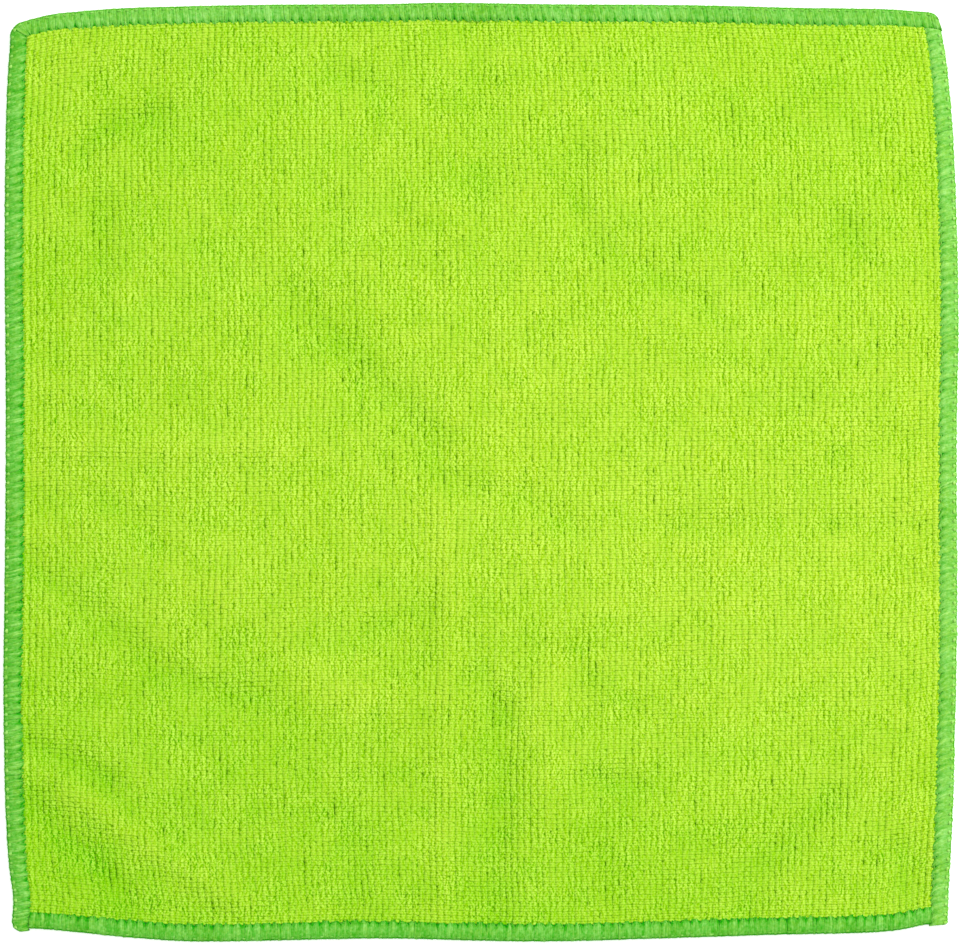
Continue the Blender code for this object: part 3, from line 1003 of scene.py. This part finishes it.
def stitch_tree():
    """A straight row of one part of the stitch, each shifted, turned and swollen a little."""
    tree, given, result = new_group(
        "stitch_row", "GeometryNodeTree",
        {**STANDING, "Count": "Int", "Start": "Float", "Pitch": "Float", "Slide": "Float"},
        {"Geometry": "Geometry"},
    )
    start, step = (combined(tree, given[name]) for name in ("Start", "Pitch"))
    row = put(
        tree, "GeometryNodeMeshLine", {"Count": given["Count"], "Start Location": start, "Offset": step}
    )
    slid = combined(tree, swing(tree, given, "Slide", 1))
    moved = put(tree, "GeometryNodeSetPosition", {"Geometry": row[0], "Offset": slid})
    turned = combined(tree, z=swing(tree, given, "Turn", 2))
    swell = maths(tree, "MULTIPLY_ADD", random_number(tree, given, 3), given["Unevenness"], 1.0)
    stand(tree, given, result, moved[0], turned, combined(tree, swell, 1.0, 1.0), 4)
    return tree


thread = thread_material()
stitch_nodes = stitch_tree()

# How each seam was sewn. pitch is one stitch; lean is how far a strand slants as it crosses, as a share of
# the pitch; the third is how light the thread lies: its own tone, painted paler as if lit on the right and
# top seams and darker as painted shade on the bottom and left; link and lump are how much lighter, as painted
# highlights, its edge loops and the strands' swollen parts are; loose is how far the strands wander.
Sewing = namedtuple("Sewing", "pitch lean pale link lump loose seed")
SEWING = {
    "bottom": Sewing(3.10, 0.10, 0.19, 0.10, 0.25, 0.22, 400),
    "right": Sewing(3.00, 0.90, 0.46, 0.35, 0.26, 0.30, 500),
    "top": Sewing(2.91, 0.12, 0.35, 0.05, 0.25, 0.22, 600),
    "left": Sewing(3.08, 0.30, 0.22, 0.45, 0.42, 0.30, 700),
}
FILAMENTS = 5  # soft strands side by side in one stitch
STRAND_THICK = 0.26
# Where a strand's rings stand, as shares of its length from the upper needle line to the lower
STRAND_STOPS = np.array((0, 0.025, 0.06, 0.11, 0.19, 0.29, 0.38, 0.45, 0.53, 0.66, 0.85, 1.0))
TUCKED_IN = 0.4  # how far a strand's ends lie past the needle line, inside the terry
TUCKED = 0.45  # how far the last strands run under the next seam
GATHERED = 0.62  # how much of the pitch the strands keep at the needle line
PULL_REACH = 1.2  # how far from the needle line its pull narrows a strand
SHADE_REACH = 2.5  # how far from it painted shade darkens the strands
NEEDLE_SHADE = 0.42  # how much painted shade deepens a stitch's outer strands there
LUMP_AT, LUMP_LONG = 0.14, 0.07  # of the way round the seam
CROWDED = 0.8  # how near a free end the strands are drawn together
END_STRANDS = 7  # that close the open section at a free end
SLIDE = 0.10  # how unevenly the stitches follow one another, how much they turn, and swell
STITCH_TURN = 0.04
SWELL = 0.05


def stitch_forms(edge):
    """The parts of one stitch in a straight seam, each as one mesh."""
    sewing, width = SEWING[edge], WIDTHS[edge]
    # A strand goes round the seam and is tucked in at both needle lines
    section, facing = seam_section(width, STRAND_THICK)
    upper, lower = (width + TUCKED_IN, SEAM_HEIGHT - 0.55), (width + TUCKED_IN, 0.7)
    section = np.concatenate([[upper], section[::-1], [lower]])
    facing = np.concatenate([[(0.7, 0.7)], facing[::-1], [(0.7, -0.7)]])
    part, run = STRAND_STOPS, travelled(section)
    path, facing = (between(part * run[-1], run, rows) for rows in (section, facing))
    facing = np.column_stack([0 * part, facing])
    inside = np.sin(math.pi * part)
    off_needle = width - path[:, 0]
    pulled = np.clip(1 - off_needle / PULL_REACH, 0, 1)
    dimmed = np.clip(1 - off_needle / SHADE_REACH, 0, 1)
    rim = np.exp(-((path[:, 0] / 0.5) ** 2))
    lump = np.exp(-(((part - LUMP_AT) / LUMP_LONG) ** 2))
    gathered = 1 - (1 - GATHERED) * pulled
    forms = []
    for number in range(FILAMENTS):
        off_middle = (number + 0.5) / FILAMENTS - 0.5
        central = 1 - 2 * abs(off_middle)
        along = sewing.pitch * (0.5 + off_middle * gathered + sewing.lean * inside**0.6)
        across = sewing.pitch / FILAMENTS * (0.95 - 0.5 * pulled + 0.10 * lump * central)
        thick = STRAND_THICK * (0.70 + 0.30 * inside**0.5 + 0.35 * lump * central)
        # The strand's lightness: the seam's own, with painted shade on the outer strands by the needle line
        # and at the outer rim, and a painted highlight on the swollen parts
        pale = sewing.pale - NEEDLE_SHADE * dimmed * (1 - central) + sewing.lump * lump * central - 0.06 * rim
        forms.append(swept("filament", np.column_stack([along, path]), facing, across, thick, pale))
    # The needle's thread, from hole to hole over the strands, and the loop that links the two looper threads
    # on the shoulder of the edge. The needle's thread is painted darker towards the holes, as painted shade,
    # and the edge loop lighter over its arch, as a painted highlight. Columns: along, in from the outer face,
    # up, facing, half width, half thickness, paleness.
    part = np.linspace(0, 1, 6)
    arch = np.sin(math.pi * part) ** 0.5
    for name, along, inwards, up, facing, across, thick, pale in (
        (
            "needle_thread", part, width - 0.15 - 0.2 * arch, SEAM_HEIGHT - 0.85 + 0.50 * arch,
            (0, 0, 1.0), 0.18, 0.14, sewing.pale - 0.2 * (1 - arch),
        ),
        (
            "edge_link", 0.02 + 0.42 * part, 1.10 + 0 * part, SEAM_HEIGHT - 0.40 + 0.60 * arch,
            (0, -0.3, 1.0), 0.12 + (0.15 + 0.80 * sewing.link) * arch, 0.08 + 0.16 * arch,
            sewing.pale + sewing.link * arch,
        ),
    ):
        path = np.column_stack([sewing.pitch * along, inwards, up])
        forms.append(swept(name, path, facing, across, thick, pale))
    return forms


def points_of(made):
    """An object's points, in millimetres."""
    points = np.empty(3 * len(made.data.vertices), np.float32)
    made.data.vertices.foreach_get("co", points)
    return points.reshape(-1, 3).astype(float) / MM


def lay(made, points, edge):
    """Moves an object to these points of a straight seam, laid along a cloth's edge."""
    made.data.vertices.foreach_set("co", (lay_on_edge(edge, points) * MM).astype(np.float32).ravel())


def joined(parts, name):
    """Several meshes as one object, under this name."""
    with bpy.context.temp_override(active_object=parts[0], selected_editable_objects=parts):
        bpy.ops.object.join()
    parts[0].name = parts[0].data.name = name
    return parts[0]


def end_strands(edge, at_start):
    """Strands that turn over a seam's free end and close it, each from the face to the underside."""
    width, length = WIDTHS[edge], seam_rulings(edge)[2][-1]
    part = np.linspace(0, 1, 9)
    bow = np.sin(math.pi * part)
    out = 0.10 - 0.30 * bow
    along = out if at_start else length - out
    up = SEAM_HEIGHT - 0.25 - (SEAM_HEIGHT - 0.5) * part
    strands = []
    for number in range(END_STRANDS):
        inwards = 0.55 + (width - 0.6) * number / (END_STRANDS - 1) + 0.12 * bow
        # Painted shade: each strand is a little darker where it bows out over the end
        strand = swept(
            "end_strand", np.column_stack([along, inwards, up]), (-1.0 if at_start else 1.0, 0, 0),
            0.52, 0.14 + 0.10 * bow, SEWING[edge].pale - 0.1 * bow,
        )
        lay(strand, points_of(strand), edge)
        strand.data.materials.append(thread)
        set_attribute(strand, "tint", np.full(len(strand.data.vertices), (0.37 * number) % 1.0))
        strands.append(strand)
    return strands


LIP = 1.3  # how far from the needle line the core's painted shade of the holes begins


def make_core(edge):
    """The layer of thread that shows between the strands, painted dark as the shade between them and darkest
    at the holes by the needle line; closed and open towards the terry.
    """
    width = WIDTHS[edge]
    run = seam_rulings(edge)[2]
    skin, _ = seam_section(width, CORE_BELOW)
    skin[-1, 1] -= 0.15
    inner, _ = seam_section(width, SKIN)
    ring = np.concatenate([skin, inner[::-1]])
    around, steps = len(ring), len(run)
    points = np.column_stack([np.repeat(run, around), np.tile(ring, (steps, 1))])
    faces = [(face[0], *face[:0:-1]) for face in tube_faces(steps, around)]
    faces += [tuple(range(around)), tuple(range(steps * around - 1, (steps - 1) * around - 1, -1))]
    made = add_mesh("seam_" + edge, lay_on_edge(edge, points), faces)
    lip = np.clip((points[:, 1] - width + LIP) / 0.5, 0, 1)
    start, end = ENDS[edge]
    lip *= np.clip(points[:, 0] - start.covered, 0, 1) * np.clip(run[-1] - points[:, 0] - end.covered, 0, 1)
    # Painted shade: the core is marked as a flank and painted dark all over, darkest at the needle holes
    set_attribute(made, "up", np.full(len(points), 0.1))
    set_attribute(made, "pale", (SEWING[edge].pale - 0.2) * (1 - lip) + PIT_SHADE * lip)
    made.data.materials.append(thread)
    return made


def crowd(along):
    """Distances from a seam's free end, with the strands that would pass it drawn in against it."""
    return np.where(along < CROWDED, CROWDED * np.exp(np.minimum(along, CROWDED) / CROWDED - 1), along)


def make_stitches(edge):
    """All the stitches of one edge as one mesh."""
    sewing = SEWING[edge]
    length = seam_rulings(edge)[2][-1]
    free = [end.wrap > MITRED for end in ENDS[edge]]
    start_past, end_past = (0.0 if loose else TUCKED for loose in free)
    sewn = length + start_past + end_past
    count = round(sewn / sewing.pitch)
    pitch = sewn / count
    # Where a seam ends free, the strands that slant away from the end start past it
    start_past += free[0] * pitch
    count += free[0]
    rows = []
    for number, form in enumerate(stitch_forms(edge)):
        values = {
            "Form": form, "Count": count, "Start": -start_past * MM, "Pitch": pitch * MM,
            "Slide": SLIDE * MM, "Turn": STITCH_TURN, "Unevenness": SWELL,
            "Seed": sewing.seed + 10 * number, "Yarn": thread,
        }
        start = add_mesh("row_start", np.zeros((1, 3)), [])
        rows.append(grown(start, stitch_nodes, values, "stitches_" + edge))
        bpy.data.objects.remove(form)
    made = joined(rows, "stitches_" + edge)
    points = points_of(made)
    # Woolly thread wanders and swells as it lies
    under = np.where(points[:, 2] < SEAM_HEIGHT / 2, 20, 0)
    round_it = np.column_stack([points[:, 0], points[:, 1] + under])
    points[:, 0] += sewing.loose * uneven(round_it, (1.7, 1.5), sewing.seed + 1)
    inner = np.clip(points[:, 1] - 2, 0, 1)
    points[:, 1] += 0.25 * inner * uneven(round_it, (1.1, 2.0), sewing.seed + 3)
    points[:, 2] += 0.10 * uneven(round_it, (1.0, 1.1), sewing.seed + 2)
    if free[0]:
        points[:, 0] = crowd(points[:, 0])
    if free[1]:
        points[:, 0] = length - crowd(length - points[:, 0])
    lay(made, points, edge)
    for at_start, loose in zip((True, False), free):
        if loose:
            made = joined([made, *end_strands(edge, at_start)], made.name)
    made.data.update()
    made.data.shade_smooth()
    return made


seams = []
for edge in EDGES:
    core = make_core(edge)
    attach(core, "root")
    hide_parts("overlock_" + edge)
    stitches = make_stitches(edge)
    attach(stitches, "root")
    seams += [core, stitches]
